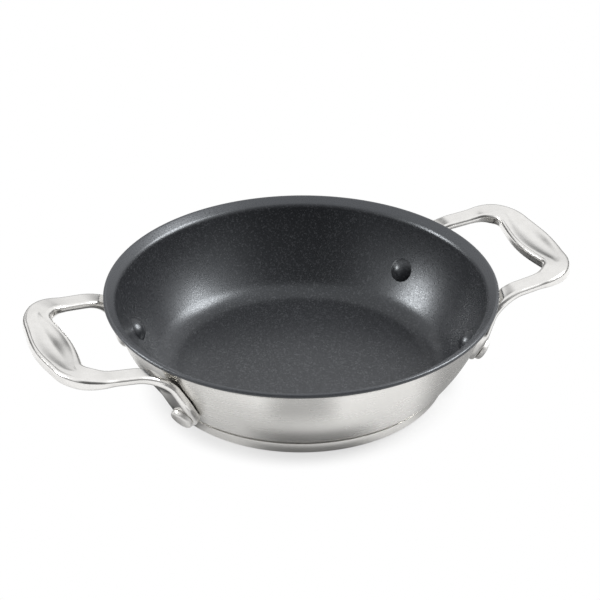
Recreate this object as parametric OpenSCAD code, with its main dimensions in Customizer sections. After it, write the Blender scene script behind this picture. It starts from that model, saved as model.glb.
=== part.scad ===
// Small two-handled frying pan: a drawn steel body with a dark non-stick lining,
// a pressed sandwich base, and two cast steel loop handles, each held by two rivets.
// Sizes are in millimetres. The pan stands on the XY plane with its middle on the Z axis.
// The handles lie along X, and the legs of each one are alike on both sides of the XZ plane.

/* [Pan body] */
// Diameter over the flared rim
rim_d = 165; // [156:1:180]
// Height of the rim above the table
rim_h = 44; // [40:0.5:52]
// Thickness of the drawn steel sheet
wall_t = 1.6; // [1.2:0.1:2]
// Thickness of the dark lining
lining_t = 0.35; // [0.2:0.05:0.5]
// How far the lining's round bead stands past the sheet's cut edge
rim_bead = 0.9; // [0.5:0.1:1.2]
// Straight length of the flared lip, along its slope
lip_len = 3.2; // [2:0.1:5]
// Slope of the flared lip, in degrees above level
lip_angle = 36; // [25:1:45]
// Inside radius of the bend between the wall and the lip
neck_r = 1.5; // [1:0.1:3]
// How much the wall steepens on its way from the heel to the lip, in degrees
wall_turn = 23.5; // [15:0.5:30]
// Height of the rounded heel above the flat underside
heel_h = 6; // [5:0.1:7]

/* [Sandwich base] */
// Thickness of the aluminium heat disc below the flat floor
disc_t = 3.8; // [3:0.2:5]
// Thickness of the steel cap pressed round the disc
cap_t = 0.8; // [0.5:0.1:1.2]
// Outer diameter of the cap
cap_d = 122.8; // [110:0.2:134]
// How far the heel stands out past the cap, on each side
heel_out = 3; // [2:0.1:4]
// Radius of the cap's rounded lower edge
cap_corner_r = 6.4; // [3:0.2:6.6]
// Least height left straight on the side of the base, above that rounded edge
base_straight = 0.2; // [0.1:0.1:0.6]
// Depth of the seam left between the cap's top edge and the body
seam_gap = 0.1; // [0.05:0.05:0.4]
// Radius that rounds the outside of the cap's top edge
cap_lip_r = 0.35; // [0.2:0.05:0.4]

/* [Handles] */
// Clear gap for the fingers between the rim and the middle of the grip
finger_gap = 18.2; // [14:0.2:26]
// Width of the grip at its middle
grip_w = 16.4; // [13:0.2:20]
// Thickness of the grip
grip_t = 5.3; // [4.4:0.1:7]
// Width of the grip where it turns into the legs
grip_end_w = 11.2; // [9.5:0.1:13]
// Height of the grip's ends above the rim
grip_rise = 1.5; // [0:0.1:6]
// How much lower the middle of the grip lies than its ends
grip_sag = 1.7; // [0:0.1:3]
// Depth of the almond-shaped hollow in the top of the grip
grip_hollow = 0.9; // [0.3:0.1:1.4]
// Distance between the middles of the two legs at the grip
leg_spacing = 61; // [54:0.5:66]
// Distance between the middles of the two legs at the rim
leg_spacing_in = 64.4; // [58:0.5:68]
// Width of a leg
leg_w = 8.8; // [7.6:0.1:9.6]
// Thickness of a leg
leg_t = 3.4; // [2.8:0.1:4]
// Radius of the turn from the grip into a leg, at its middle line
turn_r = 13; // [10:0.5:15]
// Radius of the downward bend of a leg beside the rim
bend_r = 18; // [12:0.5:19]
// Depth of that bend's corner below the rim
bend_drop = 4.2; // [3.6:0.1:7]
// Clear gap between that corner and the top of the wall
bend_gap = 1.8; // [1.2:0.1:4]
// Radius of the sideways bend just above the foot
ankle_r = 9.5; // [7:0.5:12]
// Length of a leg over which it tapers from the grip's size to its own
taper_len = 14; // [9:1:18]
// Width of the foot
foot_w = 10.6; // [9:0.1:12]
// Thickness of the foot
foot_t = 4.5; // [3.6:0.1:5.2]
// Length of the foot below its rivet
foot_tip = 6.6; // [5.8:0.1:8]
// Length of the straight foot above its rivet
foot_heel = 5.6; // [5:0.2:8]
// Gap between the foot and the wall, where they touch
foot_gap = 0.05; // [0.02:0.01:0.15]

/* [Rivets] */
// Height of the rivets above the table, at the outside of the wall
rivet_h = 20.5; // [18:0.5:24]
// Distance between the two rivets of a handle
rivet_spacing = 65.6; // [60:0.2:68]
// Diameter of the rivet's shank
shank_d = 5; // [4:0.1:6]
// Gap round the shank in its holes
shank_gap = 0.05; // [0.02:0.01:0.1]
// Diameter of the button outside the foot
button_d = 10; // [8:0.1:11]
// Height of the button
button_h = 2.6; // [2:0.1:3.6]
// Radius that rounds the button's edge
button_edge_r = 1.1; // [0.5:0.1:1.6]
// Rise of the button's slightly domed face
button_crown = 0.4; // [0.2:0.1:0.8]
// Diameter of the low dome inside the pan, without its lining
head_d = 9.8; // [8:0.1:11]
// Height of that dome, without its lining
head_h = 2.3; // [1.6:0.1:3]
// Thickness of the lining over the dome
head_lining_t = 0.3; // [0.2:0.05:0.4]
// Gap between the dome's edge and the lining
head_gap = 0.03; // [0.02:0.01:0.1]

/* [Hidden] */
$fn = 120;
overrun = 1;
heel_steps = 6;
wall_steps = 12;
neck_steps = 5;
bead_steps = 8;
cap_steps = 8;
edge_steps = 6;
dome_steps = 8;
grip_steps = 9;
turn_steps = 8;
leg_steps = 4;
bend_steps = 6;
ankle_steps = 4;
foot_steps = 5;
section_steps = 24;
// shape of a leg's section: 1 is an ellipse, and less is squarer
section_power_share = 0.5;
// width of the hollow, as a share of the grip's width
hollow_w_share = 0.8;
// least width of the foot's round end, as a share of the foot's width
tip_share = 0.16;
// room round the rivet's hole in which the foot's skin has no ring
seat_room = 0.4;
steel = [0.80, 0.79, 0.77];
satin_steel = [0.74, 0.73, 0.71];
lining_grey = [0.16, 0.165, 0.175];
aluminium = [0.72, 0.73, 0.75];

// Section of the pan, as radius and height. The angle is the sheet's slope above level.
function slope_dir(a) = [cos(a), sin(a)];
function sheet_normal(a) = [-sin(a), cos(a)];

rim_r = rim_d / 2;
stack_t = wall_t + lining_t;
base_h = cap_t + disc_t;
lip_reach = norm([rim_bead * cos(lip_angle), stack_t / 2 * sin(lip_angle)]);
lip_height = norm([rim_bead * sin(lip_angle), stack_t / 2 * cos(lip_angle)]);
lip_end = [
    rim_r - lip_reach + stack_t / 2 * sin(lip_angle),
    rim_h - lip_height - stack_t / 2 * cos(lip_angle)
];
neck_mid = lip_end - lip_len * slope_dir(lip_angle) - neck_r * sheet_normal(lip_angle);
heel = [cap_d / 2 + heel_out, base_h + heel_h];
// The wall is one arc, which leaves the heel and turns by wall_turn before it meets the neck's bend
rise = neck_mid - heel;
drop_share = 1 - cos(wall_turn);
bow_r = sqrt(pow(neck_r, 2) / 4 + (rise * rise - pow(neck_r, 2)) / (2 * drop_share)) - neck_r / 2;
wall_top_angle = atan2(rise[1], rise[0]) + atan2(bow_r * drop_share + neck_r, bow_r * sin(wall_turn));
heel_angle = wall_top_angle - wall_turn;
bow_mid = heel + bow_r * sheet_normal(heel_angle);
heel_r = heel_h / (1 - cos(heel_angle));
heel_mid = heel + heel_r * sheet_normal(heel_angle);

// Underside and outside of the steel sheet, from the middle of the floor to the lip
sheet_path = concat(
    [[0, base_h, 0]],
    [for (i = [0 : heel_steps])
        let (a = heel_angle * i / heel_steps, p = heel_mid - heel_r * sheet_normal(a))
        [p[0], p[1], a]],
    [for (i = [1 : wall_steps])
        let (a = heel_angle + (wall_top_angle - heel_angle) * i / wall_steps,
            p = bow_mid - bow_r * sheet_normal(a))
        [p[0], p[1], a]],
    [for (i = [1 : neck_steps])
        let (a = wall_top_angle + (lip_angle - wall_top_angle) * i / neck_steps,
            p = neck_mid + neck_r * sheet_normal(a))
        [p[0], p[1], a]],
    [[lip_end[0], lip_end[1], lip_angle]]
);

function sheet_side(offset) =
    [for (p = sheet_path) [p[0], p[1]] + offset * sheet_normal(p[2])];
function reversed(list) = [for (i = [len(list) - 1 : -1 : 0]) list[i]];

// Place on the outside of the wall at one height: radius, height and slope
function wall_at(z) =
    let (a = acos((bow_mid[1] - z) / bow_r), p = bow_mid - bow_r * sheet_normal(a))
    [p[0], z, a];

// Rivets: each one stands square to the wall, with its seat on the outside of the sheet
seat = wall_at(rivet_h);
rivet_angle = asin(rivet_spacing / 2 / seat[0]);
lean = 180 - seat[2];
seat_point = [seat[0] * cos(rivet_angle), seat[0] * sin(rivet_angle), seat[1]];
seat_out = [sin(lean) * cos(rivet_angle), sin(lean) * sin(rivet_angle), cos(lean)];
foot_down = [cos(lean) * cos(rivet_angle), cos(lean) * sin(rivet_angle), -sin(lean)];
hole_r = shank_d / 2 + shank_gap;
head_r = head_d / 2;
capped_r = head_r + head_lining_t;
// the dome's flat back bridges the hollow wall, so its edge touches and its middle stands off
hollow_r = min(bow_r, seat[0] / sin(seat[2])) - stack_t;
head_seat = stack_t + head_gap + pow(capped_r, 2) / (2 * hollow_r);

module at_seat(angle) {
    translate([seat[0] * cos(angle), seat[0] * sin(angle), seat[1]])
        rotate([0, lean, angle])
            children();
}

module rivet_holes() {
    for (angle = [rivet_angle, -rivet_angle, 180 - rivet_angle, 180 + rivet_angle])
        at_seat(angle)
            translate([0, 0, -stack_t - overrun])
                cylinder(h = stack_t + 2 * overrun, r = hole_r);
}

module pan_body() {
    color(satin_steel)
        difference() {
            rotate_extrude()
                polygon(concat(sheet_side(0), reversed(sheet_side(wall_t))));
            rivet_holes();
        }
}

// The lining covers the inside and wraps round the cut edge of the lip as a bead
bead_points = [
    for (i = [0 : bead_steps - 1])
        let (a = 180 * i / bead_steps)
        lip_end + rim_bead * sin(a) * slope_dir(lip_angle)
            + stack_t / 2 * (1 - cos(a)) * sheet_normal(lip_angle)
];

module nonstick_lining() {
    color(lining_grey)
        difference() {
            rotate_extrude()
                polygon(concat(sheet_side(wall_t), bead_points, reversed(sheet_side(stack_t))));
            rivet_holes();
        }
}

// Sandwich base: the disc fills the cap and follows the heel, and the cap stops just under the heel
cap_r = cap_d / 2;
disc_r = cap_r - cap_t;
heel_at_disc = heel_mid[1] - sqrt(pow(heel_r, 2) - pow(disc_r - heel_mid[0], 2));
cap_h = heel_at_disc - seam_gap;
// the rounded lower edge ends below the rounding of the cap's top edge
corner_r = min(cap_corner_r, cap_h - cap_lip_r - base_straight);
disc_corner_r = corner_r - cap_t;

function round_corner(mid, r, from, to, steps) =
    [for (i = [0 : steps])
        let (a = from + (to - from) * i / steps)
        mid + r * [cos(a), sin(a)]];
corner_mid = [cap_r - corner_r, corner_r];
disc_edge = round_corner(corner_mid, disc_corner_r, -90, 0, cap_steps);
under_heel = [for (p = sheet_path) if (p[0] < disc_r) [p[0], p[1]]];

module heat_disc() {
    color(aluminium)
        rotate_extrude()
            polygon(concat([[0, cap_t]], disc_edge, [[disc_r, heel_at_disc]], reversed(under_heel)));
}

module base_cap() {
    color(satin_steel)
        rotate_extrude()
            polygon(concat(
                [[0, cap_t], [0, 0]],
                round_corner(corner_mid, corner_r, -90, 0, cap_steps),
                round_corner([cap_r - cap_lip_r, cap_h - cap_lip_r], cap_lip_r, 0, 90, edge_steps),
                [[disc_r, cap_h]],
                reversed(disc_edge)
            ));
}

// Handles: one half of the middle line runs from the middle of the grip to the end of a foot
function unit(v) = v / norm(v);
function smooth(x) = let (t = min(1, max(0, x))) t * t * (3 - 2 * t);
function bend(a, b, c, r, steps) =
    let (
        u = unit(a - b),
        v = unit(c - b),
        half = acos(u * v) / 2,
        mid = b + unit(u + v) * r / sin(half),
        from = unit(b + u * r / tan(half) - mid),
        to = unit(b + v * r / tan(half) - mid),
        across = unit(to - from * (from * to)),
        sweep = 180 - 2 * half
    )
    [for (i = [0 : steps])
        let (t = sweep * i / steps)
        mid + r * (from * cos(t) + across * sin(t))];
function between(a, b, steps) = [for (i = [1 : steps - 1]) a + (b - a) * i / steps];

grip_x = rim_r + finger_gap + grip_w / 2;
grip_z = rim_h + grip_rise - grip_t / 2;
grip_mid = [grip_x, 0, grip_z];
grip_corner = [grip_x, leg_spacing / 2, grip_z];
leg_corner_r = neck_mid[0] - neck_r * sin(wall_top_angle) + bend_gap + leg_t / 2;
leg_corner = [
    sqrt(pow(leg_corner_r, 2) - pow(leg_spacing_in / 2, 2)),
    leg_spacing_in / 2,
    rim_h - bend_drop
];
foot_mid = seat_point + seat_out * (foot_gap + foot_t / 2);
ankle = foot_mid - foot_down * foot_heel;
foot_end = foot_mid + foot_down * foot_tip;
seat_reach = hole_r + seat_room;
turn_points = bend(grip_mid, grip_corner, leg_corner, turn_r, turn_steps);
bend_points = bend(grip_corner, leg_corner, ankle, bend_r, bend_steps);
ankle_points = bend(leg_corner, ankle, foot_end, ankle_r, ankle_steps);
straight_line = concat(
    [for (i = [0 : grip_steps - 1]) grip_mid + (turn_points[0] - grip_mid) * i / grip_steps],
    turn_points,
    between(turn_points[turn_steps], bend_points[0], leg_steps),
    bend_points,
    ankle_points,
    [foot_mid - foot_down * seat_reach, foot_mid + foot_down * seat_reach],
    // rings crowd together towards the round end of the foot
    [for (i = [1 : foot_steps])
        foot_mid + foot_down * (seat_reach + (foot_tip - seat_reach) * sin(90 * i / foot_steps))]
);
// the grip sags between its two ends, and the legs stay straight
function sag_at(y) = grip_sag * (1 - pow(min(1, y / grip_corner[1]), 2));
mid_line = [
    for (i = [0 : len(straight_line) - 1])
        straight_line[i] - [0, 0, i < grip_steps + turn_steps ? sag_at(straight_line[i][1]) : 0]
];
stations = [
    for (i = 0, s = 0; i < len(mid_line);
        s = s + (i + 1 < len(mid_line) ? norm(mid_line[i + 1] - mid_line[i]) : 0), i = i + 1) s
];
line_len = stations[len(stations) - 1];
turn_station = stations[grip_steps + turn_steps / 2];
ankle_station = stations[grip_steps + turn_steps + leg_steps + bend_steps + 1 + ankle_steps];
bend_station = stations[grip_steps + turn_steps + leg_steps];
bend_end_station = stations[grip_steps + turn_steps + leg_steps + bend_steps];

function line_dir(i) =
    i == 0 ? [0, 1, 0]
    : i == len(mid_line) - 1 ? foot_down
    : unit(mid_line[i + 1] - mid_line[i - 1]);
function swell(s) = s < turn_station ? pow(cos(90 * s / turn_station), 2) : 0;
function to_leg(s) = smooth((s - turn_station) / taper_len);
function twist(s) = smooth((s - bend_station) / (bend_end_station - bend_station));
function to_foot(s) = smooth((s - bend_station) / (ankle_station - bend_station));
function round_end(s) =
    let (left = min(1, (line_len - s) / (foot_w / 2)))
    max(tip_share, sqrt(1 - pow(1 - left, 2)));
function line_w(s) =
    (grip_end_w + (grip_w - grip_end_w) * swell(s)
        + (leg_w - grip_end_w) * to_leg(s)
        + (foot_w - leg_w) * to_foot(s)) * round_end(s);
function line_t(s) = grip_t + (leg_t - grip_t) * to_leg(s) + (foot_t - leg_t) * to_foot(s);
function squared(x) = sign(x) * pow(abs(x), section_power_share);
function hollow_at(x, s) =
    let (reach = abs(x) / hollow_w_share)
    reach < 1 ? grip_hollow * (1 - pow(reach, 2)) * swell(s) : 0;

// One ring of the handle's skin: side runs across the strip, and top runs square to it.
// Over the downward bend the strip also twists, so that its foot lies flat on the wall.
wall_side = [-sin(rivet_angle), cos(rivet_angle), 0];
function ring(i) =
    let (
        dir = line_dir(i),
        s = stations[i],
        level = unit(cross([dir[0], dir[1], 0], [0, 0, 1])),
        turned = level + (wall_side - level) * twist(s),
        side = unit(turned - dir * (turned * dir)),
        top = cross(side, dir)
    )
    [for (j = [0 : section_steps - 1])
        let (
            a = 360 * (2 * j + 1) / (2 * section_steps),
            x = squared(cos(a)),
            y = squared(sin(a)),
            dent = y > 0 ? hollow_at(x, s) : 0
        )
        mid_line[i] + side * x * line_w(s) / 2 + top * (y * line_t(s) / 2 - dent)];

half_rings = [for (i = [0 : len(mid_line) - 1]) ring(i)];
all_rings = concat(
    [for (i = [len(half_rings) - 1 : -1 : 1]) [for (p = half_rings[i]) [p[0], -p[1], p[2]]]],
    half_rings
);

module handle() {
    n = section_steps;
    rows = len(all_rings);
    difference() {
        polyhedron(
            points = [for (r = all_rings) for (p = r) p],
            faces = concat(
                [for (i = [0 : rows - 2]) for (j = [0 : n - 1])
                    [i * n + j, (i + 1) * n + (j + 1) % n, (i + 1) * n + j]],
                [for (i = [0 : rows - 2]) for (j = [0 : n - 1])
                    [i * n + j, i * n + (j + 1) % n, (i + 1) * n + (j + 1) % n]],
                [for (j = [1 : n - 2]) [0, j + 1, j]],
                [for (j = [1 : n - 2]) [(rows - 1) * n, (rows - 1) * n + j, (rows - 1) * n + j + 1]]
            )
        );
        for (angle = [rivet_angle, -rivet_angle])
            at_seat(angle)
                translate([0, 0, -overrun])
                    cylinder(h = foot_t + foot_gap + 2 * overrun, r = hole_r);
    }
}

module right_handle() {
    color(steel) handle();
}

module left_handle() {
    color(steel) mirror([1, 0, 0]) handle();
}

// A rivet is one piece: the button outside, the shank, and the low dome inside the pan
foot_face = foot_gap + foot_t;
button_r = button_d / 2;
dome_r = (pow(head_r, 2) + pow(head_h, 2)) / (2 * head_h);
dome_angle = asin(head_r / dome_r);

function crown_at(r) = foot_face + button_h - button_crown * pow(r / button_r, 2);

module rivet() {
    color(steel)
        rotate_extrude()
            polygon(concat(
                [[0, crown_at(0)]],
                [for (i = [0 : edge_steps])
                    let (
                        a = 90 - 90 * i / edge_steps,
                        r = button_r - button_edge_r * (1 - cos(a))
                    )
                    [r, crown_at(r) - button_edge_r * (1 - sin(a))]],
                [[button_r, foot_face], [shank_d / 2, foot_face], [shank_d / 2, -head_seat]],
                [for (i = [0 : dome_steps])
                    let (a = dome_angle * (1 - i / dome_steps))
                    [dome_r * sin(a), -head_seat - head_h + dome_r * (1 - cos(a))]]
            ));
}

module right_rear_rivet() {
    at_seat(rivet_angle) rivet();
}

module right_front_rivet() {
    at_seat(-rivet_angle) rivet();
}

module left_rear_rivet() {
    at_seat(180 - rivet_angle) rivet();
}

module left_front_rivet() {
    at_seat(180 + rivet_angle) rivet();
}

// The lining carries on over each dome as a thin skin
module rivet_linings() {
    color(lining_grey)
        for (angle = [rivet_angle, -rivet_angle, 180 - rivet_angle, 180 + rivet_angle])
            at_seat(angle)
                rotate_extrude()
                    polygon(concat(
                        [for (i = [0 : dome_steps])
                            let (a = dome_angle * i / dome_steps)
                            [dome_r * sin(a), -head_seat - head_h + dome_r * (1 - cos(a))]],
                        [for (i = [0 : dome_steps])
                            let (a = dome_angle * (1 - i / dome_steps), r = capped_r / sin(dome_angle))
                            [r * sin(a), -head_seat - head_h - head_lining_t + (head_h + head_lining_t)
                                * (1 - cos(a)) / (1 - cos(dome_angle))]]
                    ));
}

pan_body();
nonstick_lining();
heat_disc();
base_cap();
right_handle();
left_handle();
right_rear_rivet();
right_front_rivet();
left_rear_rivet();
left_front_rivet();
rivet_linings();
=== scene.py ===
import math

import bmesh
import bpy
from mathutils import Matrix, Vector


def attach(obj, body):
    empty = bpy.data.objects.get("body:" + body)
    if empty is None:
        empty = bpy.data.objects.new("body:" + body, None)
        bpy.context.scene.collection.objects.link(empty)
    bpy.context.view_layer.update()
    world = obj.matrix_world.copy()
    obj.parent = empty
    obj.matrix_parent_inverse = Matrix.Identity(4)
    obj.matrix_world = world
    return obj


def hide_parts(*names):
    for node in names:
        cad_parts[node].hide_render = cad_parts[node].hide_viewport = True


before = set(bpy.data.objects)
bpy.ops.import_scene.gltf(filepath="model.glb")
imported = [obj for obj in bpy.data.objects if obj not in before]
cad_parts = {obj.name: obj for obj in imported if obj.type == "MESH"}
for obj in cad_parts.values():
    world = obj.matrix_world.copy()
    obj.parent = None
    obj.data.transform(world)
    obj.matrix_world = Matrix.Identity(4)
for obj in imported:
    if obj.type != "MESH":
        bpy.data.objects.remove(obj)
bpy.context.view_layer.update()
mm = 0.001  # every size below is in millimetres, as in the solid model
print("frame:", len(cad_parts), "solids")


# fitted to the rim, the base and the handles
photoView = {
    "turn": -23.09,  # degrees round the pan, 0 looks along its short axis
    "tilt": 30.61,
    "roll": -0.34,
    "distance": 1033.8,
    "aimHeight": 43.86,
    "aimAside": -0.48,
    "aimUp": -4.85,
    "lens": 148.86,
    "sensor": 36,
    "nearest": 50,  # nothing nearer or further than these is drawn
    "furthest": 20000,
}


def makeCamera(view):
    turn, tilt, roll = (math.radians(view[key]) for key in ("turn", "tilt", "roll"))
    pose = (
        Matrix.Rotation(turn, 3, "Z")
        @ Matrix.Rotation(math.pi / 2 - tilt, 3, "X")
        @ Matrix.Rotation(roll, 3, "Z")
    )
    place = pose @ Vector((view["aimAside"], view["aimUp"], view["distance"]))
    place.z += view["aimHeight"]
    data = bpy.data.cameras.new("camera")
    data.lens = view["lens"]
    data.sensor_width = view["sensor"]
    data.clip_start = view["nearest"] * mm
    data.clip_end = view["furthest"] * mm
    camera = bpy.data.objects.new("camera", data)
    camera.matrix_world = Matrix.Translation(place * mm) @ pose.to_4x4()
    bpy.context.scene.collection.objects.link(camera)
    bpy.context.scene.camera = camera
    bpy.context.scene.view_settings.view_transform = "Standard"
    print("camera at", [round(x, 1) for x in place])


makeCamera(photoView)


class Shade:
    # a shader socket that sums can be made with
    def __init__(self, tree, socket=None):
        self.tree = tree
        self.socket = socket

    def join(self, value, target):
        if isinstance(value, Shade):
            self.tree.links.new(value.socket, target)
        else:
            target.default_value = value

    def add(self, kind, settings=None, inputs=None, output=0):
        node = self.tree.nodes.new(kind)
        for key, value in (settings or {}).items():
            setattr(node, key, value)
        for key, value in (inputs or {}).items():
            self.join(value, node.inputs[key])
        return Shade(self.tree, node.outputs[output] if len(node.outputs) else None)

    def out(self, name):
        return Shade(self.tree, self.socket.node.outputs[name])

    def maths(self, operation, *values):
        return self.add("ShaderNodeMath", {"operation": operation}, dict(enumerate(values)))

    def __add__(self, other):
        return self.maths("ADD", self, other)

    def __radd__(self, other):
        return self.maths("ADD", other, self)

    def __sub__(self, other):
        return self.maths("SUBTRACT", self, other)

    def __rsub__(self, other):
        return self.maths("SUBTRACT", other, self)

    def __mul__(self, other):
        return self.maths("MULTIPLY", self, other)

    def __rmul__(self, other):
        return self.maths("MULTIPLY", other, self)

    def __truediv__(self, other):
        return self.maths("DIVIDE", self, other)

    def __rtruediv__(self, other):
        return self.maths("DIVIDE", other, self)

    def __pow__(self, other):
        return self.maths("POWER", self, other)

    def __rpow__(self, other):
        return self.maths("POWER", other, self)

    def ease(self, low, high):
        # 0 at low, 1 at high, smooth between
        return self.add(
            "ShaderNodeMapRange",
            {"interpolation_type": "SMOOTHSTEP"},
            {"Value": self, "From Min": low, "From Max": high},
        )

    def within(self, full, end):
        # for the cosine of an angle: 1 up to full degrees, 0 from end degrees
        return self.ease(math.cos(math.radians(end)), math.cos(math.radians(full)))

    def ahead(self, place, aim):
        # how far a place lies in the direction of aim
        return self.add(
            "ShaderNodeVectorMath",
            {"operation": "DOT_PRODUCT"},
            {0: place, 1: aim},
            output="Value",
        )

    def noise(self, place, size, detail=2, roughness=0.5):
        # size is one cell of the noise, in millimetres
        return self.add(
            "ShaderNodeTexNoise",
            {"noise_dimensions": "3D"},
            {"Vector": place, "Scale": 1 / (size * mm), "Detail": detail, "Roughness": roughness},
        )

    def tint(self, share, first, second):
        # a colour between two others
        return self.add(
            "ShaderNodeMix", {"data_type": "RGBA"}, {0: share, 6: first, 7: second}, output=2
        )

    def bump(self, height, depth, under=None):
        # depth is the height of the relief, in millimetres
        inputs = {"Height": height, "Distance": depth * mm, "Strength": 1}
        if under:
            inputs["Normal"] = under
        return self.add("ShaderNodeBump", None, inputs)


def newFinish(name):
    material = bpy.data.materials.new(name)
    material.use_nodes = True
    material.node_tree.nodes.clear()
    return material, Shade(material.node_tree)


def colour(red, green, blue):
    return (red, green, blue, 1)


streakRadius = 70  # how far from the pan's axis a streak has its given length


def ringNoise(shade, place, width, length):
    # streaks that run round the pan's axis
    axes = shade.add("ShaderNodeSeparateXYZ", None, {0: place})
    x, y, z = (axes.out(name) for name in "XYZ")
    radius = (x * x + y * y) ** 0.5
    turns = streakRadius / length
    spot = shade.add(
        "ShaderNodeCombineXYZ",
        None,
        {0: x / radius * turns, 1: y / radius * turns, 2: z / (width * mm)},
    )
    return shade.add(
        "ShaderNodeTexNoise",
        {"noise_dimensions": "4D"},
        {"Vector": spot, "W": radius / (width * mm), "Scale": 1, "Detail": 2, "Roughness": 0.5},
    )


# brushed steel of the body and the base cap
satin = {
    "colour": colour(0.78, 0.77, 0.745),
    "shade": colour(0.755, 0.745, 0.722),
    "roughness": 0.27,
    "bandRoughness": 0.06,  # how much the bands and smears change the roughness
    "smearRoughness": 0.03,
    "anisotropy": 0.5,
    "anisotropyTurn": 0.25,
    "lineSize": (0.4, 200),  # width and length
    "lineDepth": 0.0006,
    "bandSize": (2.2, 600),
    "smearNoise": (19, 3),  # size and detail
    "lineShare": 0.45,  # how much each takes part in the change from shade to colour
    "bandShare": 0.35,
    "smearShare": 0.2,
    "wearRange": (0.36, 0.66),
}
capSatin = {**satin, "roughness": 0.33, "lineSize": (0.3, 200), "bandSize": (1.3, 600)}


def satinSteel(name, look):
    material, shade = newFinish(name)
    place = shade.add("ShaderNodeTexCoord", output="Object")
    lines = ringNoise(shade, place, *look["lineSize"])
    bands = ringNoise(shade, place, *look["bandSize"])
    smears = shade.noise(place, *look["smearNoise"])
    wear = lines * look["lineShare"] + bands * look["bandShare"] + smears * look["smearShare"]
    uneven = look["roughness"] + look["bandRoughness"] * (bands - 0.5)
    steel = shade.add(
        "ShaderNodeBsdfPrincipled",
        None,
        {
            "Base Color": shade.tint(wear.ease(*look["wearRange"]), look["shade"], look["colour"]),
            "Metallic": 1,
            "Roughness": uneven + look["smearRoughness"] * (smears - 0.5),
            "Anisotropic": look["anisotropy"],
            "Anisotropic Rotation": look["anisotropyTurn"],
            "Normal": shade.bump(lines, look["lineDepth"]),
        },
    )
    shade.add("ShaderNodeOutputMaterial", None, {"Surface": steel})
    return material


# polished steel of the handles, and the duller steel of the rivets
polish = {
    "colour": colour(0.80, 0.79, 0.772),
    "shade": colour(0.76, 0.75, 0.732),
    "roughness": 0.18,
    "haze": 0.03,  # how much rubbing and hairlines change the roughness
    "hairHaze": 0.05,
    "rubNoise": (3.2, 4, 0.6),  # size, detail and roughness of each noise
    "hairNoise": (0.35, 2, 0.6),
    "rippleNoise": (11, 1),
    "shadeRange": (0.35, 0.65),
    "hazeRange": (0.3, 0.8),
    "rippleDepth": 0.004,
    "hairDepth": 0.0012,
}
rivetPolish = {**polish, "roughness": 0.46, "rippleNoise": (4, 1)}


def polishedSteel(name, look):
    material, shade = newFinish(name)
    place = shade.add("ShaderNodeTexCoord", output="Object")
    ripple = shade.noise(place, *look["rippleNoise"])
    rubbed = shade.noise(place, *look["rubNoise"])
    hair = shade.noise(place, *look["hairNoise"])
    rubbedShare = rubbed.ease(*look["shadeRange"])
    hazy = look["roughness"] + look["haze"] * rubbed.ease(*look["hazeRange"])
    steel = shade.add(
        "ShaderNodeBsdfPrincipled",
        None,
        {
            "Base Color": shade.tint(rubbedShare, look["shade"], look["colour"]),
            "Metallic": 1,
            "Roughness": hazy + look["hairHaze"] * (hair - 0.5),
            "Normal": shade.bump(
                hair, look["hairDepth"], shade.bump(ripple, look["rippleDepth"])
            ),
        },
    )
    shade.add("ShaderNodeOutputMaterial", None, {"Surface": steel})
    return material


# dark coating with fine flecks, and painted light on its lip
coating = {
    "colour": colour(0.0108, 0.0114, 0.0130),
    "fleck": colour(0.055, 0.057, 0.062),
    "roughness": 0.32,
    "grainRoughness": 0.5,  # how much the grain adds to the roughness, and a fleck takes off
    "fleckSmooth": 0.07,
    "grainNoise": (0.46, 2, 0.6),  # size, detail and roughness of each noise
    "grainDepth": 0.022,
    "cloudNoise": (14, 3),
    "cloudShare": 0.05,
    "fleckSize": 0.506,
    "fleckRange": (0.72, 0.98),
    "fleckShare": 0.55,
    "refraction": 1.52,
    "gloss": 0.5,
    "sheen": colour(0.90, 0.95, 1.0),
    # a lighter colour on the lip: painted light, where the lip faces up to the light
    "lip": colour(0.031, 0.0325, 0.036),
    "lipFrom": 40.4,  # heights between which the coating takes on the lip's lighter colour, which is painted light
    "lipTo": 42.6,
}


def nonstickCoating(name, look):
    material, shade = newFinish(name)
    place = shade.add("ShaderNodeTexCoord", output="Object")
    grain = shade.noise(place, *look["grainNoise"])
    cells = shade.add(
        "ShaderNodeTexVoronoi",
        {"feature": "F1"},
        {"Vector": place, "Scale": 1 / (look["fleckSize"] * mm)},
    )
    level = shade.add("ShaderNodeSeparateColor", None, {0: cells.out("Color")})
    fleck = level.ease(*look["fleckRange"])
    cloud = shade.noise(place, *look["cloudNoise"])
    height = shade.add("ShaderNodeSeparateXYZ", None, {0: place}, output="Z")
    # the share of the lip's lighter colour, painted light, rising with height
    paintedLipLight = height.ease(look["lipFrom"] * mm, look["lipTo"] * mm)
    speckle = fleck * look["fleckShare"] + cloud * look["cloudShare"]
    inside = shade.tint(speckle, look["colour"], look["fleck"])
    grained = look["roughness"] + look["grainRoughness"] * (grain - 0.5)
    film = shade.add(
        "ShaderNodeBsdfPrincipled",
        None,
        {
            "Base Color": shade.tint(paintedLipLight, inside, look["lip"]),
            "Roughness": grained - fleck * look["fleckSmooth"],
            "IOR": look["refraction"],
            "Specular IOR Level": look["gloss"],
            "Specular Tint": look["sheen"],
            "Normal": shade.bump(grain, look["grainDepth"]),
        },
    )
    shade.add("ShaderNodeOutputMaterial", None, {"Surface": film})
    return material


# turned aluminium of the disc inside the base
core = {
    "colour": colour(0.78, 0.79, 0.80),
    "shade": colour(0.66, 0.67, 0.68),
    "roughness": 0.34,
    "spread": 0.12,
    "lineSize": (0.5, 40),
    "lineDepth": 0.006,
}


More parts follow.
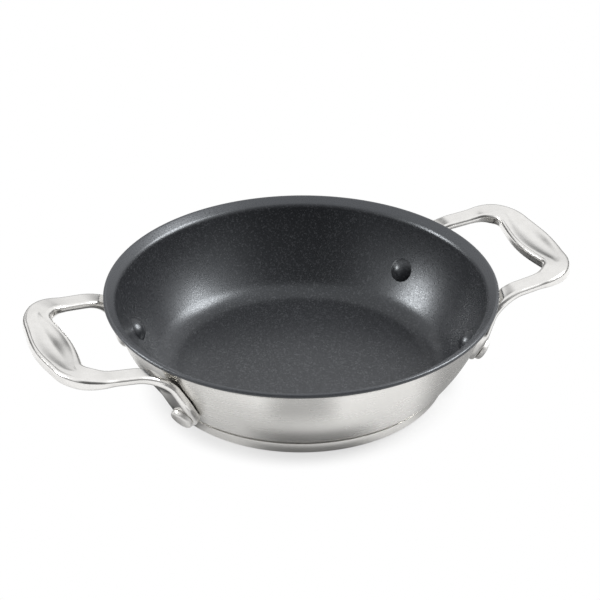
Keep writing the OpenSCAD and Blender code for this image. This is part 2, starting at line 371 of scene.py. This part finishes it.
def discAluminium(name, look):
    material, shade = newFinish(name)
    place = shade.add("ShaderNodeTexCoord", output="Object")
    turned = ringNoise(shade, place, *look["lineSize"])
    metal = shade.add(
        "ShaderNodeBsdfPrincipled",
        None,
        {
            "Base Color": shade.tint(turned, look["shade"], look["colour"]),
            "Metallic": 1,
            "Roughness": look["roughness"] + turned * look["spread"],
            "Normal": shade.bump(turned, look["lineDepth"]),
        },
    )
    shade.add("ShaderNodeOutputMaterial", None, {"Surface": metal})
    return material


bodySteel = satinSteel("satinSteelBody", satin)
capSteel = satinSteel("satinSteelCap", capSatin)
handleSteel = polishedSteel("polishedSteelHandle", polish)
rivetSteel = polishedSteel("polishedSteelRivet", rivetPolish)
liningCoat = nonstickCoating("nonstickLining", coating)
discMetal = discAluminium("aluminiumCore", core)
print("finishes ready")


def finishPiece(name, mesh, material, node):
    data = bpy.data.meshes.new(name)
    bmesh.ops.recalc_face_normals(mesh, faces=mesh.faces)
    for face in mesh.faces:
        face.smooth = True
    mesh.to_mesh(data)
    mesh.free()
    data.materials.append(material)
    piece = bpy.data.objects.new(name, data)
    bpy.context.scene.collection.objects.link(piece)
    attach(piece, "root")
    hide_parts(node)
    print(name, len(data.polygons), "faces")


def spin(mesh, outline, segments, corners=(), place=Matrix.Identity(4)):
    # spins an outline of radius and height round Z; a corner's ring keeps a hard edge
    rings = []
    for radius, height in outline:
        count = segments if radius > 0 else 1
        spots = [
            Vector((radius * math.cos(a), radius * math.sin(a), height)) * mm
            for a in (math.tau * k / segments for k in range(count))
        ]
        rings.append([mesh.verts.new(place @ spot) for spot in spots])
    joins = list(zip(rings, rings[1:]))
    if len(rings[0]) > 1:
        joins.append((rings[-1], rings[0]))
    for low, high in joins:
        for k in range(segments):
            after = (k + 1) % segments
            if len(low) == 1:
                mesh.faces.new((low[0], high[k], high[after]))
            elif len(high) == 1:
                mesh.faces.new((low[k], low[after], high[0]))
            else:
                mesh.faces.new((low[k], low[after], high[after], high[k]))
    for index in corners:
        ring = rings[index]
        for k in range(len(ring)):
            mesh.edges.get((ring[k], ring[(k + 1) % segments])).smooth = False


def arc(mid, radius, start, end, steps):
    angles = [math.radians(start + (end - start) * i / steps) for i in range(steps + 1)]
    return [mid + radius * Vector((math.cos(a), math.sin(a))) for a in angles]


pan = {
    "rimRadius": 82.48,
    "rimHeight": 44,
    "sheet": 1.6,
    "lining": 0.35,
    "bead": 0.9,  # how far the lining's round edge stands out from the end of the sheet
    "lipLength": 3.2,
    "lipSlope": 36,
    "neckRadius": 1.5,
    "wallTurn": 23.5,  # degrees by which the wall steepens from the heel to the neck
    "heelHeight": 6.0,
    "heelOut": 3.0,
    "capRadius": 61.4,
    "capSheet": 0.8,
    "disc": 3.8,
    "segments": 360,
    "heelSteps": 12,
    "wallSteps": 40,
    "neckSteps": 10,
    "beadSteps": 24,
}


def across(slope):
    return Vector((-math.sin(slope), math.cos(slope)))


def along(slope):
    return Vector((math.cos(slope), math.sin(slope)))


def panSection(size):
    # the sheet's outside, from the middle of the floor to the lip: points and slopes
    stack = size["sheet"] + size["lining"]
    baseTop = size["capSheet"] + size["disc"]
    lip = math.radians(size["lipSlope"])
    reach = math.hypot(size["bead"] * math.cos(lip), stack / 2 * math.sin(lip))
    height = math.hypot(size["bead"] * math.sin(lip), stack / 2 * math.cos(lip))
    lipEnd = Vector((
        size["rimRadius"] - reach + stack / 2 * math.sin(lip),
        size["rimHeight"] - height - stack / 2 * math.cos(lip),
    ))
    neck = size["neckRadius"]
    neckMid = lipEnd - size["lipLength"] * along(lip) - neck * across(lip)
    heel = Vector((size["capRadius"] + size["heelOut"], baseTop + size["heelHeight"]))
    rise = neckMid - heel
    turning = math.radians(size["wallTurn"])
    drop = 1 - math.cos(turning)
    bow = math.sqrt(neck ** 2 / 4 + (rise.length_squared - neck ** 2) / (2 * drop)) - neck / 2
    top = math.atan2(rise.y, rise.x) + math.atan2(bow * drop + neck, bow * math.sin(turning))
    foot = top - turning
    bowMid = heel + bow * across(foot)
    heelRadius = size["heelHeight"] / (1 - math.cos(foot))
    heelMid = heel + heelRadius * across(foot)
    path = [(Vector((0, baseTop)), 0), (Vector((heelMid.x / 2, baseTop)), 0)]
    for i in range(size["heelSteps"] + 1):
        slope = foot * i / size["heelSteps"]
        path.append((heelMid - heelRadius * across(slope), slope))
    for i in range(1, size["wallSteps"] + 1):
        slope = foot + turning * i / size["wallSteps"]
        path.append((bowMid - bow * across(slope), slope))
    for i in range(1, size["neckSteps"] + 1):
        slope = top + (lip - top) * i / size["neckSteps"]
        path.append((neckMid + neck * across(slope), slope))
    path.append((lipEnd - size["lipLength"] / 2 * along(lip), lip))
    path.append((lipEnd, lip))
    return {
        "path": path,
        "lipEnd": lipEnd,
        "lip": lip,
        "stack": stack,
        "bow": bow,
        "bowMid": bowMid,
        "heelMid": heelMid,
        "heelRadius": heelRadius,
        "neckOut": neckMid.x - neck * math.sin(top),
    }


section = panSection(pan)


def layer(offset):
    # the section's line, moved in from the sheet's outside
    return [spot + offset * across(slope) for spot, slope in section["path"]]


def beadOutline():
    # the lining's round edge, from the outside of the lip over to its inside
    spots = []
    for i in range(1, pan["beadSteps"]):
        a = math.pi * i / pan["beadSteps"]
        spots.append(
            section["lipEnd"]
            + pan["bead"] * math.sin(a) * along(section["lip"])
            + section["stack"] / 2 * (1 - math.cos(a)) * across(section["lip"])
        )
    return spots


def makeBody():
    mesh = bmesh.new()
    outside, inside = layer(0), layer(pan["sheet"])
    spin(mesh, outside + inside[::-1], pan["segments"], (len(outside) - 1, len(outside)))
    finishPiece("panBody", mesh, bodySteel, "pan_body")


def makeLining():
    mesh = bmesh.new()
    under, over = layer(pan["sheet"]), layer(section["stack"])
    rim = [layer(0)[-1]] + beadOutline()
    outline = under + rim + over[::-1]
    spin(mesh, outline, pan["segments"], (len(under) - 1, len(under)))
    finishPiece("nonstickLining", mesh, liningCoat, "nonstick_lining")


cap = {
    "corner": 6.4,  # the radius of the lower edge, and of the upper one
    "edge": 0.03,
    "seam": 0.1,  # the gap under the heel
    "underRing": 0.6,  # a ring in the flat underside, as a share of its width
    "cornerSteps": 20,
    "edgeSteps": 8,
    "insideSteps": 12,
}


def makeCap(size):
    mesh = bmesh.new()
    discRadius = pan["capRadius"] - pan["capSheet"]
    reach = discRadius - section["heelMid"].x
    top = section["heelMid"].y - math.sqrt(section["heelRadius"] ** 2 - reach ** 2) - size["seam"]
    mid = Vector((pan["capRadius"] - size["corner"], size["corner"]))
    edgeMid = Vector((pan["capRadius"] - size["edge"], top - size["edge"]))
    outline = [Vector((0, 0)), Vector((mid.x * size["underRing"], 0))]
    outline += arc(mid, size["corner"], -90, 0, size["cornerSteps"])
    outline += arc(edgeMid, size["edge"], 0, 90, size["edgeSteps"])
    corners = [len(outline)]
    outline.append(Vector((discRadius, top)))
    outline += arc(mid, size["corner"] - pan["capSheet"], 0, -90, size["insideSteps"])
    outline.append(Vector((0, pan["capSheet"])))
    spin(mesh, outline, pan["segments"], corners)
    finishPiece("baseCap", mesh, capSteel, "base_cap")


makeBody()
makeLining()
makeCap(cap)
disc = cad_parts["heat_disc"]
disc.data.materials.clear()
disc.data.materials.append(discMetal)


rivet = {
    "height": 20.5,
    "spacing": 65.6,
    "shank": 2.5,
    "button": 5.0,
    "buttonHeight": 2.6,
    "buttonEdge": 1.1,
    "crown": 0.4,
    "crownRings": (0, 1.3, 2.6),
    "chamferHeight": 0.25,
    "chamferIn": 0.2,
    "head": 4.9,
    "headHeight": 2.3,
    "headLining": 0.3,
    "headGap": 0.03,
    "footFace": 4.55,
    "segments": 96,
    "edgeSteps": 8,
    "domeSteps": 16,
}

seatSlope = math.acos((section["bowMid"].y - rivet["height"]) / section["bow"])
seatRadius = section["bowMid"].x + section["bow"] * math.sin(seatSlope)
rivetAngle = math.asin(rivet["spacing"] / 2 / seatRadius)
lean = math.pi - seatSlope
cappedRadius = rivet["head"] + rivet["headLining"]
hollowRadius = min(section["bow"], seatRadius / math.sin(seatSlope)) - section["stack"]
headSeat = section["stack"] + rivet["headGap"] + cappedRadius ** 2 / (2 * hollowRadius)
domeRadius = (rivet["head"] ** 2 + rivet["headHeight"] ** 2) / (2 * rivet["headHeight"])
domeAngle = math.asin(rivet["head"] / domeRadius)


def atSeat(angle):
    # Z points out of the wall at a rivet, X down along it
    spot = Vector((seatRadius * math.cos(angle), seatRadius * math.sin(angle), rivet["height"]))
    return (
        Matrix.Translation(spot * mm)
        @ Matrix.Rotation(angle, 4, "Z")
        @ Matrix.Rotation(lean, 4, "Y")
    )


def crownAt(radius):
    fall = rivet["crown"] * (radius / rivet["button"]) ** 2
    return rivet["footFace"] + rivet["buttonHeight"] - fall


def rivetOutline(size):
    # from the top of the button, down the shank, to the top of the inner head
    spots = [Vector((radius, crownAt(radius))) for radius in size["crownRings"]]
    for i in range(size["edgeSteps"] + 1):
        a = math.radians(90 - 90 * i / size["edgeSteps"])
        radius = size["button"] - size["buttonEdge"] * (1 - math.cos(a))
        spots.append(Vector((radius, crownAt(radius) - size["buttonEdge"] * (1 - math.sin(a)))))
    firstCorner = len(spots)
    spots += [
        Vector((size["button"], size["footFace"] + size["chamferHeight"])),
        Vector((size["button"] - size["chamferIn"], size["footFace"])),
        Vector((size["shank"], size["footFace"])),
        Vector((size["shank"], -headSeat)),
    ]
    lastCorner = len(spots)
    for i in range(size["domeSteps"] + 1):
        a = domeAngle * (1 - i / size["domeSteps"])
        spots.append(Vector((
            domeRadius * math.sin(a),
            -headSeat - size["headHeight"] + domeRadius * (1 - math.cos(a)),
        )))
    return spots, range(firstCorner, lastCorner + 1)


def makeRivet(name, node, angle):
    mesh = bmesh.new()
    outline, corners = rivetOutline(rivet)
    spin(mesh, outline, rivet["segments"], corners, atSeat(angle))
    finishPiece(name, mesh, rivetSteel, node)


def makeHeadLinings(size, angles):
    low = -headSeat - size["headHeight"]
    steps = size["domeSteps"]
    inner, outer = [], []
    for i in range(steps + 1):
        a = domeAngle * i / steps
        inner.append(Vector((domeRadius * math.sin(a), low + domeRadius * (1 - math.cos(a)))))
        a = domeAngle * (1 - i / steps)
        rise = (1 - math.cos(a)) / (1 - math.cos(domeAngle))
        outer.append(Vector((
            cappedRadius * math.sin(a) / math.sin(domeAngle),
            low - size["headLining"] + (size["headHeight"] + size["headLining"]) * rise,
        )))
    mesh = bmesh.new()
    for angle in angles:
        spin(mesh, inner + outer, size["segments"], (steps, steps + 1), atSeat(angle))
    finishPiece("rivetLinings", mesh, liningCoat, "rivet_linings")


rivetSpots = [
    ("rightRearRivet", "right_rear_rivet", rivetAngle),
    ("rightFrontRivet", "right_front_rivet", -rivetAngle),
    ("leftRearRivet", "left_rear_rivet", math.pi - rivetAngle),
    ("leftFrontRivet", "left_front_rivet", math.pi + rivetAngle),
]
for name, node, angle in rivetSpots:
    makeRivet(name, node, angle)
makeHeadLinings(rivet, [angle for name, node, angle in rivetSpots])


handle = {
    "rimRadius": 82.5,  # the finger gap is measured from here
    "fingerGap": 18.2,
    "gripWidth": 16.4,
    "gripThick": 5.3,
    "gripEndWidth": 11.2,
    "gripRise": 1.5,
    "gripSag": 1.7,
    "hollowDepth": 1.15,
    "hollowWidthShare": 0.8,
    "hollowHalfLength": 25,
    "hollowFall": 1.8,  # more makes the hollow's sides softer at their tops
    "legSpacing": 61,
    "legSpacingAtRim": 64.4,
    "legWidth": 8.8,
    "legThick": 3.4,
    "turnRadius": 13,
    "bendRadius": 18,
    "bendDrop": 4.2,
    "bendGap": 1.8,
    "ankleRadius": 9.5,
    "taper": 14,  # the length over which the grip turns into the leg
    "footWidth": 10.6,
    "footThick": 4.5,
    "footTip": 6.6,
    "footHeel": 5.6,
    "footGap": 0.05,
    "gripEdge": 1.75,
    "legEdge": 1.45,
    "roundest": 0.98,  # an edge's radius is at most this share of half the width or thickness
    "tipShare": 0.1,  # the least width at the end of a foot, as a share
    "skinShare": 0.9955,  # keeps the bar just inside the solid one
    "gripSteps": 30,  # steps along the bar
    "turnSteps": 26,
    "legSteps": 14,
    "bendSteps": 26,
    "ankleSteps": 12,
    "heelSteps": 5,
    "tipSteps": 20,
    "edgeSteps": 6,  # steps round the bar
    "topSteps": 26,
    "underSteps": 10,
    "sideSteps": 4,
}


def smooth(x):
    x = min(1, max(0, x))
    return x * x * (3 - 2 * x)


def bendPoints(before, corner, after, radius, steps):
    u, v = (before - corner).normalized(), (after - corner).normalized()
    half = u.angle(v) / 2
    mid = corner + (u + v).normalized() * radius / math.sin(half)
    start = (corner + u * radius / math.tan(half) - mid).normalized()
    end = (corner + v * radius / math.tan(half) - mid).normalized()
    square = (end - start * start.dot(end)).normalized()
    sweep = math.pi - 2 * half
    angles = [sweep * i / steps for i in range(steps + 1)]
    return [mid + radius * (start * math.cos(a) + square * math.sin(a)) for a in angles]


def handleLine(size):
    # middle line from the middle of the grip to the end of a foot, with its stations
    gripX = size["rimRadius"] + size["fingerGap"] + size["gripWidth"] / 2
    gripZ = pan["rimHeight"] + size["gripRise"] - size["gripThick"] / 2
    gripMid = Vector((gripX, 0, gripZ))
    gripCorner = Vector((gripX, size["legSpacing"] / 2, gripZ))
    cornerReach = section["neckOut"] + size["bendGap"] + size["legThick"] / 2
    halfSpacing = size["legSpacingAtRim"] / 2
    legCorner = Vector((
        math.sqrt(cornerReach ** 2 - halfSpacing ** 2),
        halfSpacing,
        pan["rimHeight"] - size["bendDrop"],
    ))
    seat = atSeat(rivetAngle)
    out = seat.to_3x3() @ Vector((0, 0, 1))
    down = seat.to_3x3() @ Vector((1, 0, 0))
    footMid = seat.translation / mm + out * (size["footGap"] + size["footThick"] / 2)
    ankle = footMid - down * size["footHeel"]
    footEnd = footMid + down * size["footTip"]
    turned = bendPoints(gripMid, gripCorner, legCorner, size["turnRadius"], size["turnSteps"])
    bent = bendPoints(gripCorner, legCorner, ankle, size["bendRadius"], size["bendSteps"])
    ankled = bendPoints(legCorner, ankle, footEnd, size["ankleRadius"], size["ankleSteps"])
    grip, leg, heel, tip = (size[key + "Steps"] for key in ("grip", "leg", "heel", "tip"))
    line = [gripMid.lerp(turned[0], i / grip) for i in range(grip)] + turned
    turnEnd = len(line)
    line += [turned[-1].lerp(bent[0], i / leg) for i in range(1, leg)]
    bendStart = len(line)
    line += bent
    bendEnd = len(line) - 1
    line += ankled
    ankleEnd = len(line) - 1
    line += [ankled[-1].lerp(footMid, i / heel) for i in range(1, heel + 1)]
    line += [footMid.lerp(footEnd, math.sin(math.pi / 2 * i / tip)) for i in range(1, tip + 1)]
    for spot in line[:turnEnd]:
        spot.z -= size["gripSag"] * (1 - min(1, spot.y / gripCorner.y) ** 2)
    stations = [0.0]
    for before, after in zip(line, line[1:]):
        stations.append(stations[-1] + (after - before).length)
    marks = {
        "turn": stations[grip + size["turnSteps"] // 2],
        "bend": stations[bendStart],
        "bendEnd": stations[bendEnd],
        "ankle": stations[ankleEnd],
        "end": stations[-1],
        "down": down,
    }
    return line, stations, marks


def barSection(size, width, thick, edge, hollow, reach):
    # a rounded rectangle from its right upper corner round, with the hollow in its top
    a, b = width / 2, thick / 2
    r = min(edge, a * size["roundest"], b * size["roundest"])
    spots = []
    for cornerX, cornerY, start in ((1, 1, 0), (-1, 1, 90), (-1, -1, 180), (1, -1, 270)):
        mid = Vector((cornerX * (a - r), cornerY * (b - r)))
        spots += arc(mid, r, start, start + 90, size["edgeSteps"])
        if (cornerX, cornerY) == (1, 1):
            count, end = size["topSteps"], Vector((-(a - r), b))
        elif (cornerX, cornerY) == (-1, -1):
            count, end = size["underSteps"], Vector((a - r, -b))
        else:
            count, end = size["sideSteps"], Vector((cornerX * a, -cornerY * (b - r)))
        first = spots[-1]
        spots += [first.lerp(end, i / count) for i in range(1, count)]
    for spot in spots:
        u = abs(spot.x) / reach if reach > 0 else 1
        if spot.y > 0 and u < 1:
            spot.y -= hollow * (1 - u * u) ** size["hollowFall"]
    return spots


def barRing(size, marks, spot, s, ahead):
    # the bar's section at a spot, s along the middle line
    level = Vector((ahead.x, ahead.y, 0)).cross(Vector((0, 0, 1))).normalized()
    wallSide = Vector((-math.sin(rivetAngle), math.cos(rivetAngle), 0))
    twist = smooth((s - marks["bend"]) / (marks["bendEnd"] - marks["bend"]))
    aside = level + (wallSide - level) * twist
    aside = (aside - ahead * aside.dot(ahead)).normalized()
    top = aside.cross(ahead)
    swell = math.cos(math.pi / 2 * s / marks["turn"]) ** 2 if s < marks["turn"] else 0
    toLeg = smooth((s - marks["turn"]) / size["taper"])
    toFoot = smooth((s - marks["bend"]) / (marks["ankle"] - marks["bend"]))
    left = min(1, (marks["end"] - s) / (size["footWidth"] / 2))
    tip = max(size["tipShare"], math.sqrt(1 - (1 - left) ** 2))
    width = size["gripEndWidth"] + (size["gripWidth"] - size["gripEndWidth"]) * swell
    width += (size["legWidth"] - size["gripEndWidth"]) * toLeg
    width += (size["footWidth"] - size["legWidth"]) * toFoot
    thick = size["gripThick"] + (size["legThick"] - size["gripThick"]) * toLeg
    thick += (size["footThick"] - size["legThick"]) * toFoot
    edge = size["gripEdge"] + (size["legEdge"] - size["gripEdge"]) * toLeg
    close = min(1, (marks["end"] - s) / edge)
    thick -= 2 * edge * (1 - math.sqrt(1 - (1 - close) ** 2))
    share = max(0, 1 - (s / size["hollowHalfLength"]) ** 2)
    reach = size["hollowWidthShare"] * width / 2 * share ** 0.5
    width, thick = width * tip * size["skinShare"], thick * size["skinShare"]
    spots = barSection(size, width, thick, edge, size["hollowDepth"] * share, reach)
    return [spot + aside * p.x + top * p.y for p in spots]


def makeHandle(name, node, flip):
    # flip is 1 for the right handle and -1 for the left
    line, stations, marks = handleLine(handle)
    half = []
    for i, (spot, s) in enumerate(zip(line, stations)):
        if i == 0:
            ahead = Vector((0, 1, 0))
        elif i == len(line) - 1:
            ahead = marks["down"]
        else:
            ahead = (line[i + 1] - line[i - 1]).normalized()
        half.append(barRing(handle, marks, spot, s, ahead))
    other = [[Vector((p.x, -p.y, p.z)) for p in ring] for ring in half[:0:-1]]
    mesh = bmesh.new()
    rings = [
        [mesh.verts.new(Vector((p.x * flip, p.y, p.z)) * mm) for p in ring]
        for ring in other + half
    ]
    count = len(rings[0])
    for low, high in zip(rings, rings[1:]):
        for k in range(count):
            after = (k + 1) % count
            mesh.faces.new((low[k], low[after], high[after], high[k]))
    mesh.faces.new(rings[0])
    mesh.faces.new(rings[-1])
    finishPiece(name, mesh, handleSteel, node)


makeHandle("rightHandle", "right_handle", 1)
makeHandle("leftHandle", "left_handle", -1)


studio = {
    "floorRadius": 900,
    "floorSides": 128,
    "floorDrop": 0.1,
    "floorColour": colour(0.56, 0.56, 0.56),
    "glowNear": 0.66,  # how much of the floor at the base is plain white to the camera
    "shadowFrom": 59,  # the shadow fades to white from here outward
    "shadowTo": 70.5,
    "glowMirrored": 0.36,  # how much of it near the pan is plain white in reflections
    "mirroredFrom": 160,  # that share grows from here outward, up to all of it
    "mirroredTo": 420,
    # painted shade on the floor, seen only in reflections: the middle in degrees round the pan,
    # the degrees to each side where it is full and ends, how far out it starts and is full, how
    # far out it fades and ends, and how dark the painted shade is
    "paintedFloorShade": [
        {"middle": -113, "sides": (3, 18), "start": (72, 88), "stop": (112, 136), "paintedShade": 0.5},
        {"middle": -109, "sides": (8, 32), "start": (0, 1), "stop": (65, 72), "paintedShade": 0.62},
        {"middle": -66, "sides": (8, 26), "start": (0, 1), "stop": (66, 84), "paintedShade": 0.06},
        {"middle": -20, "sides": (20, 46), "start": (0, 1), "stop": (108, 132), "paintedShade": 0.6},
        {"middle": 180, "sides": (14, 26), "start": (0, 1), "stop": (80, 100), "paintedShade": 0.85},
        {"middle": 38, "sides": (18, 34), "start": (0, 1), "stop": (100, 118), "paintedShade": 0.8},
    ],
    "skyLevel": 1.05,
    "skyLow": -4,  # degrees above level where the surroundings begin to be bright
    "skyHigh": 32,
    "darkLevel": 0.05,
    # darker parts of the surroundings: the middle in degrees round and above level, the degrees
    # from it where it is full and ends, and how dark it is
    "darkSky": [
        {"turn": -113, "rise": 27, "sides": (26, 50), "dark": 0.9},
        {"turn": 86, "rise": 35, "sides": (2, 9), "dark": 0.9},
        {"turn": 113, "rise": 8, "sides": (6, 16), "dark": 1},
    ],
}


def facing(turn, rise=0):
    turn, rise = math.radians(turn), math.radians(rise)
    return Vector((
        math.cos(turn) * math.cos(rise), math.sin(turn) * math.cos(rise), math.sin(rise),
    ))


def floorFinish(look):
    material, shade = newFinish("paleFloor")
    place = shade.add("ShaderNodeTexCoord", output="Object")
    reach = shade.add("ShaderNodeVectorMath", {"operation": "LENGTH"}, {0: place}, output="Value")
    far = reach.ease(look["mirroredFrom"] * mm, look["mirroredTo"] * mm)
    clear = reach.ease(look["shadowFrom"] * mm, look["shadowTo"] * mm)
    path = shade.add("ShaderNodeLightPath")
    direct = path.out("Is Camera Ray") + path.out("Is Transmission Ray")
    mirrored = path.out("Is Glossy Ray")
    # painted shade: the floor is darkened at these places for reflections only
    paintedShade = 0
    for part in look["paintedFloorShade"]:
        beside = (shade.ahead(place, facing(part["middle"])) / reach).within(*part["sides"])
        started = reach.ease(*(size * mm for size in part["start"]))
        stopped = reach.ease(*(size * mm for size in part["stop"]))
        paintedShade = paintedShade + part["paintedShade"] * beside * (started * (1 - stopped))
    glow = (
        direct * (look["glowNear"] + (1 - look["glowNear"]) * clear)
        + mirrored * (look["glowMirrored"] + (1 - look["glowMirrored"]) * far)
    )
    matt = shade.add("ShaderNodeBsdfDiffuse", None, {"Color": look["floorColour"]})
    white = shade.add("ShaderNodeEmission", None, {"Color": colour(1, 1, 1), "Strength": 1})
    mixed = shade.add("ShaderNodeMixShader", None, {0: glow, 1: matt, 2: white})
    # the black that the painted shade mixes into the floor's reflections
    unlit = shade.add("ShaderNodeEmission", None, {"Color": colour(1, 1, 1), "Strength": 0})
    shown = shade.add("ShaderNodeMixShader", None, {0: paintedShade * mirrored, 1: mixed, 2: unlit})
    shade.add("ShaderNodeOutputMaterial", None, {"Surface": shown})
    return material


def makeFloor(look):
    mesh = bmesh.new()
    bmesh.ops.create_circle(
        mesh, cap_ends=True, segments=look["floorSides"], radius=look["floorRadius"] * mm
    )
    data = bpy.data.meshes.new("floor")
    mesh.to_mesh(data)
    mesh.free()
    data.materials.append(floorFinish(look))
    floor = bpy.data.objects.new("floor", data)
    floor.location.z = -look["floorDrop"] * mm
    bpy.context.scene.collection.objects.link(floor)


def makeSurroundings(look):
    world = bpy.data.worlds.new("studio")
    world.use_nodes = True
    world.node_tree.nodes.clear()
    bpy.context.scene.world = world
    shade = Shade(world.node_tree)
    ray = shade.add("ShaderNodeTexCoord", output="Generated")
    height = shade.add("ShaderNodeSeparateXYZ", None, {0: ray}, output="Z")
    low, high = (math.sin(math.radians(look[key])) for key in ("skyLow", "skyHigh"))
    sky = height.ease(low, high)
    for part in look["darkSky"]:
        near = shade.ahead(ray, facing(part["turn"], part["rise"])).within(*part["sides"])
        sky = sky * (1 - part["dark"] * near)
    level = (look["skyLevel"] - look["darkLevel"]) * sky + look["darkLevel"]
    seen = shade.add("ShaderNodeLightPath", output="Is Camera Ray")
    backdrop = shade.add(
        "ShaderNodeBackground",
        None,
        {"Color": colour(1, 1, 1), "Strength": seen + level * (1 - seen)},
    )
    shade.add("ShaderNodeOutputWorld", None, {"Surface": backdrop})


lampAim = 30  # how high over the floor the lamps point
# a lamp's level is how bright its face is, whatever its size
lamps = {
    "left": {
        "turn": 151, "rise": 25, "away": 1500, "wide": 470, "high": 460, "level": 23,
        "mirrored": True,
    },
    "right": {
        "turn": -17, "rise": 40, "away": 1500, "wide": 660, "high": 740, "level": 19,
        "mirrored": True,
    },
    "fill": {
        "turn": -155, "rise": 50, "away": 1500, "wide": 900, "high": 900, "level": 3,
        "mirrored": False,
    },
}


def makeLamp(name, look):
    data = bpy.data.lights.new(name, "AREA")
    data.shape = "RECTANGLE"
    data.size, data.size_y = look["wide"] * mm, look["high"] * mm
    data.energy = look["level"] * math.pi * data.size * data.size_y
    lamp = bpy.data.objects.new(name, data)
    back = facing(look["turn"], look["rise"])
    lamp.location = back * look["away"] * mm + Vector((0, 0, lampAim * mm))
    lamp.rotation_euler = back.to_track_quat("Z", "Y").to_euler()
    lamp.visible_camera = False
    lamp.visible_glossy = look["mirrored"]
    bpy.context.scene.collection.objects.link(lamp)


makeFloor(studio)
makeSurroundings(studio)
for name, look in lamps.items():
    makeLamp(name, look)
print("studio ready")

bpy.context.view_layer.update()
